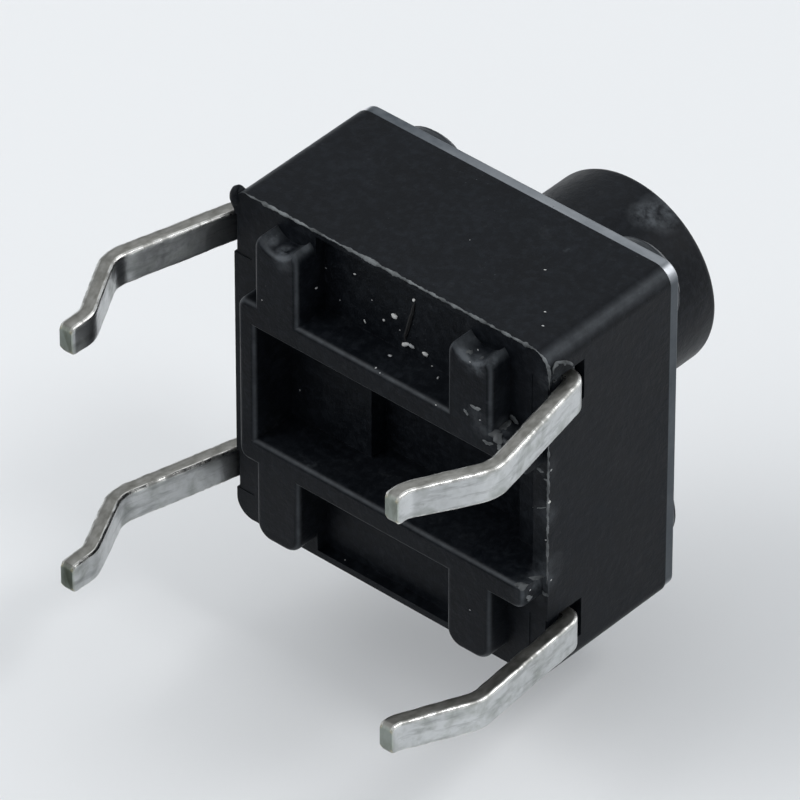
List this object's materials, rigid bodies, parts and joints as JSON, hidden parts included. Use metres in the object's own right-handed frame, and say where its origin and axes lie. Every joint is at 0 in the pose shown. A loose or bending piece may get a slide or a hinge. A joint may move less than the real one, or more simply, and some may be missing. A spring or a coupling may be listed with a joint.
{
  "type": "tactile push button switch",
  "caption": "Board-mounted momentary push switch: a square black housing with bent solder leads below and a round sprung plunger above.",
  "frame": {"origin": "centre of the four-lead pattern, on the board surface that the housing's feet stand on", "axes": "+Z out of the board along the plunger; X across the housing from lead to lead of one row; Y from one lead row to the other"},
  "size_m": [0.0078, 0.0062, 0.0092],
  "materials": {
    "housing_plastic": "moulded black plastic, satin",
    "plunger_plastic": "moulded black plastic, satin",
    "cover_steel": "punched sheet steel",
    "plated_brass": "silver-plated brass strip, slightly tarnished",
    "spring_steel": "thin rolled spring steel"
  },
  "bodies": {
    "housing": {"base": "housing_plastic", "centre_terminal": "plated_brass", "side_terminal": "plated_brass", "snap_dome": "spring_steel", "cover_plate": "cover_steel"},
    "plunger": {"plunger": "plunger_plastic"}
  },
  "joints": [
    {"name": "plunger_press", "type": "slide", "parent": "housing", "child": "plunger", "axis": [0, 0, -1], "range_m": [0, 0.00025], "stiffness_N_per_m": 6400, "deforming": ["snap_dome"]}
  ]
}
